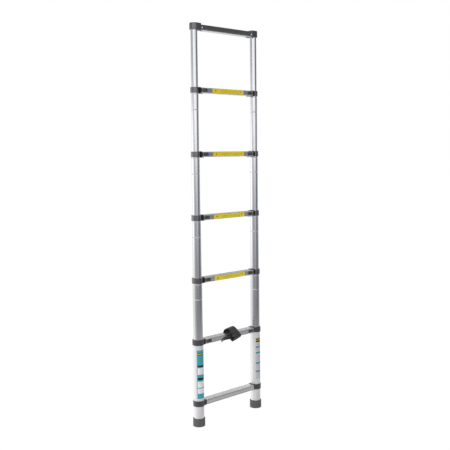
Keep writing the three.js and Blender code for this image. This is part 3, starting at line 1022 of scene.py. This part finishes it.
def build_strap_turn():
    """The inner turn of the strap, flat over the tread and the upper half of the rung's front."""
    front = -RUNG_DEPTH / 2 - CLEARANCE
    top = RUNG_HEIGHT / 2 + RIDGE_HEIGHT + CLEARANCE
    near = [(front, 1.4), (front, top - 4), (front + 1.2, top - 1.2), (front + 4, top), (18.5, top)]
    far = [(front - 1, 1.4), (front - 1, top - 3.7), (front + 0.4, top - 0.4), (front + 3.7, top + 1),
           (18.5, top + 1)]
    bm = prism(near + far[::-1], STRAP_X[0] + 14, STRAP_X[1] - 3)
    bmesh.ops.recalc_face_normals(bm, faces=bm.faces)
    return with_uv(bm, lambda p: (p.x * MM, (p.y + p.z) * MM))


def stitches(points, out):
    """Short thread stitches along a line of (x, z) points on the plane y = out."""
    parts = []
    length = 2.6
    for (x0, z0), (x1, z1) in zip(points, points[1:]):
        line = Vector((x1 - x0, z1 - z0))
        count = max(int(line.length / 3.6), 1)
        angle = math.atan2(line.y, line.x)
        for k in range(count):
            centre = Vector((x0, z0)) + line * ((k + 0.5) / count)
            bead = pillow(rectangle(length, 0.8, 0.35, 2), -0.25, 0.4, 0.25, 2)
            bead.transform(Matrix.Rotation(angle, 4, "Z"))
            parts.append(moved(facing_front(bead), centre.x, out, centre.y))
    return merged(*parts)


def build_strap():
    band = build_strap_band()
    cut_height = RUNG_HEIGHT / 2
    halves = []
    for keep_upper in (True, False):
        half = band.copy()
        whole = half.verts[:] + half.edges[:] + half.faces[:]
        cut = bmesh.ops.bisect_plane(half, geom=whole, plane_co=(0, 0, cut_height), plane_no=(0, 0, 1),
                                     clear_inner=keep_upper, clear_outer=not keep_upper)
        rim = [e for e in cut["geom_cut"] if isinstance(e, bmesh.types.BMEdge)]
        bmesh.ops.holes_fill(half, edges=rim, sides=0)
        bmesh.ops.recalc_face_normals(half, faces=half.faces)
        halves.append(half)
    band.free()
    z = LEVEL_Z[STRAP_LEVEL]

    def strap_piece(name, bm, finish=strap_finish, replaces=(), sharp=50):
        return piece(name, moved(bm, 0, STILE_Y, z), "base", finish, replaces, sharp)

    upper = strap_piece("strap_upper", halves[0])
    strap_piece("strap_lower", halves[1], replaces=["strap"])
    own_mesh(upper)
    strap_piece("strap_turn", build_strap_turn())
    tail, tip = build_strap_tail()
    strap_piece("strap_tail", tail)
    strap_piece("strap_tip", tip, tip_finish)
    face = -RUNG_DEPTH / 2 - CLEARANCE - 2.1
    low, high = TAIL_MIDDLE - 5, TAIL_MIDDLE + 5
    near, far = -10, -40
    crossed_box = [(near, low), (far, low), (far, high), (near, high), (near, low), (far, high), (far, low),
                   (near, high)]
    strap_piece("strap_stitching", stitches(crossed_box, face), thread_finish, sharp=35)


# ---- The object ----
for side in SIDES:
    for number in range(1, TUBES + 1):
        build_tube(number, side)
for level in range(1, LEVELS):
    build_collar(level)
    build_rung(level)
for level in range(2, LEVELS):
    for side in SIDES:
        build_escutcheon(level, side)
        build_lock(level, side)
build_caps()
build_top_rung()
build_feet()
build_rivets()
build_bumpers()
build_rung_labels()
build_tube_labels()
build_strap()

# CAD nodes that are hidden behind finer pieces keep a finish of their own as well.
for node, shape in frame["nodes"].items():
    shape.data.materials.clear()
    shape.data.materials.append(collar_finish)


# ---- Studio ----
def build_floor():
    """A wide pale floor that fades into the background and lets mirror-like reflections see the studio."""
    bm = bmesh.new()
    bmesh.ops.create_circle(bm, cap_ends=True, segments=64, radius=40)
    floor = as_object("floor", as_mesh("floor", bm))
    floor.location = (0, 0, -0.0005)
    shader = Shader("floor")
    floor.data.materials.append(shader.material)
    grain = shader.noise(shader.place(), 3, 4)
    tone = shader.mix(shader.spread(grain, 0.3, 0.7), (0.985, 0.985, 0.985), (1.0, 1.0, 1.0))
    # A painted contact shadow: ambient occlusion darkens the glowing floor's colour close to the feet, as a
    # glowing floor takes no real shadow.
    painted_contact_shadow = shader.node("ShaderNodeAmbientOcclusion", {"Color": tone, "Distance": 0.006}, samples=8)
    pale = shader.node("ShaderNodeEmission", {"Color": painted_contact_shadow, "Strength": 1.02})
    glossy = shader.node("ShaderNodeLightPath", output="Is Glossy Ray")
    clear = shader.node("ShaderNodeBsdfTransparent")
    mixed = shader.node("ShaderNodeMixShader", {0: glossy, 1: pale, 2: clear})
    shader.node("ShaderNodeOutputMaterial", {"Surface": mixed})


def studio_row(shader, around, stops):
    """Brightness round the whole circle, for azimuths in degrees from -Y towards +X."""
    return shader.ramp(around, [((angle + 180) / 360, value) for angle, value in stops], "EASE")


# What mirror-like surfaces see: the height of the looked-at direction, azimuths between -180 and 180, and the
# brightness at -180, at each azimuth and at 180. All bands have the same features in the same order, so that
# bands between them can be blended.
HIGH_AZIMUTHS = (-140, -105, -60, 0, 44, 100, 136)
LOW_AZIMUTHS = (-136, -80, -50, -10, 44, 80, 130)
STUDIO_BANDS = [
    (0.8, HIGH_AZIMUTHS, (0.6, 0.6, 0.5, 0.6, 0.25, 0.1, 0.12, 0.5, 0.6)),
    (0.5, HIGH_AZIMUTHS, (0.8, 0.6, 0.5, 0.6, 0.3, 0.12, 0.55, 1, 0.9)),
    (0.34, HIGH_AZIMUTHS, (0.7, 0.6, 0.5, 0.7, 0.6, 0.5, 0.95, 1, 0.8)),
    (0.22, HIGH_AZIMUTHS, (0.5, 0.5, 0.4, 0.9, 0.7, 0.22, 0.8, 0.95, 0.6)),
    (0.15, (-150, -105, -66, -10, 43, 90, 136), (0.44, 0.45, 0.26, 1.12, 0.88, 0.1, 0.25, 0.8, 0.44)),
    (0.1, (-152, -105, -66, -8, 43, 90, 136), (0.5, 0.55, 0.33, 1.08, 0.95, 0.09, 0.16, 0.34, 0.5)),
    (0.05, (-134, -90, -52, -8, 40, 80, 136), (1, 1.15, 0.66, 1.15, 1.15, 0.09, 0.42, 0.85, 1)),
    (0.005, (-132, -74, -42, -10, 32, 80, 136), (0.95, 1.35, 0.52, 1.05, 1.1, 0.1, 0.44, 0.85, 0.95)),
    (-0.03, (-132, -70, -38, -8, 26, 70, 130), (0.85, 1.4, 0.32, 0.46, 0.6, 0.1, 0.36, 0.8, 0.85)),
    (-0.1, (-140, -74, -48, -20, 32, 70, 130), (0.85, 1.35, 0.32, 0.36, 0.48, 0.08, 0.42, 0.8, 0.85)),
    (-0.155, (-138, -76, -50, -26, 26, 70, 130), (0.85, 0.85, 0.3, 0.25, 0.27, 0.11, 0.3, 0.7, 0.85)),
    (-0.19, (-136, -76, -50, -26, 26, 70, 130), (0.85, 0.72, 0.24, 0.15, 0.15, 0.12, 0.26, 0.65, 0.85)),
    (-0.228, (-136, -76, -50, -26, 26, 70, 130), (0.9, 0.8, 0.26, 0.14, 0.12, 0.14, 0.28, 0.65, 0.9)),
    (-0.25, LOW_AZIMUTHS, (1, 0.98, 0.6, 0.42, 0.4, 0.56, 0.6, 0.8, 1)),
    (-0.4, LOW_AZIMUTHS, (1, 0.98, 0.6, 0.42, 0.42, 0.52, 0.5, 0.7, 1)),
    (-0.6, LOW_AZIMUTHS, (1, 0.98, 0.76, 0.66, 0.35, 0.15, 0.15, 0.5, 1)),
]
# The soft light that falls on matt surfaces, as (azimuth, brightness).
SOFT_LIGHT = [(-180, 0.9), (-130, 1.6), (-50, 1.35), (-15, 0.5), (30, 0.22), (80, 0.22), (140, 0.6),
              (180, 0.9)]


def finer(bands, parts):
    """Adds bands between the given ones, so that a feature drifts sideways instead of fading across."""
    bands = [(height, list(zip((-180, *azimuths, 180), tones))) for height, azimuths, tones in bands]
    out = [bands[0]]
    for (top, upper), (bottom, lower) in zip(bands, bands[1:]):
        for k in range(1, parts + 1):
            t = k / parts
            stops = [(a + (c - a) * t, b + (d - b) * t) for (a, b), (c, d) in zip(upper, lower)]
            out.append((top + (bottom - top) * t, stops))
    return out


def build_world():
    """Soft studio surroundings: a bright side on the left and behind, and a dark side at the front right."""
    world = bpy.data.worlds.new("studio")
    bpy.context.scene.world = world
    world.use_nodes = True
    shader = Shader("studio", world.node_tree)
    x, y, z = shader.axes(shader.node("ShaderNodeTexCoord", output="Generated"))
    turn = shader.math("ARCTAN2", x, shader.times(y, -1.0))
    around = shader.math("ADD", shader.times(turn, 0.5 / math.pi), 0.5)
    bands = finer(STUDIO_BANDS, 2)
    tone = studio_row(shader, around, bands[0][1])
    for (top, _), (bottom, stops) in zip(bands, bands[1:]):
        reached = shader.spread(z, bottom, top, 1, 0, smooth=False)
        tone = shader.mix(reached, tone, studio_row(shader, around, stops))
    tone = shader.mix(shader.spread(z, 0.90, 1.0), tone, (1.0, 1.0, 1.0))
    # Darker parts of the studio are slightly cool, except low down and high up.
    red, blue = shader.math("POWER", tone, 1.04), shader.math("POWER", tone, 0.93)
    cool = shader.node("ShaderNodeCombineColor", {"Red": red, "Green": tone, "Blue": blue})
    above, below = shader.spread(z, -0.20, -0.07, 0.25, 1), shader.spread(z, 0.14, 0.22, 1, 0.2)
    cool = shader.mix(shader.times(above, below), tone, cool)
    path = shader.node("ShaderNodeLightPath").node.outputs
    tones = (cool, studio_row(shader, around, SOFT_LIGHT), grey(1.0))
    studio, soft, white = (shader.node("ShaderNodeBackground", {"Color": tone}) for tone in tones)
    lit = shader.node("ShaderNodeMixShader", {0: path["Is Diffuse Ray"], 1: studio, 2: soft})
    seen = shader.node("ShaderNodeMixShader", {0: path["Is Camera Ray"], 1: lit, 2: white})
    shader.node("ShaderNodeOutputWorld", {"Surface": seen})


def build_camera():
    """The photograph's viewing angle: from the front left, a little above the middle of the ladder."""
    azimuth, elevation, roll = math.radians(-44.10), math.radians(5.268), math.radians(-0.598)
    distance, focal_share = 3.9977, 786.40 / 450
    target = Vector((-0.0102, STILE_Y * MM, 0.9970))
    back = Vector((math.sin(azimuth) * math.cos(elevation), -math.cos(azimuth) * math.cos(elevation),
                   math.sin(elevation)))
    right = Vector((0, 0, 1)).cross(back).normalized()
    up = back.cross(right)
    leaning = math.cos(roll) * right + math.sin(roll) * up
    upright = -math.sin(roll) * right + math.cos(roll) * up
    data = bpy.data.cameras.new("camera")
    data.sensor_width = 36
    data.lens = 36 * focal_share
    data.clip_end = 100
    camera = as_object("camera", data)
    rotation = Matrix((leaning, upright, back)).transposed().to_4x4()
    camera.matrix_world = Matrix.Translation(target + back * distance) @ rotation
    bpy.context.scene.camera = camera


build_floor()
build_world()
build_camera()
bpy.context.scene.view_settings.view_transform = "Standard"
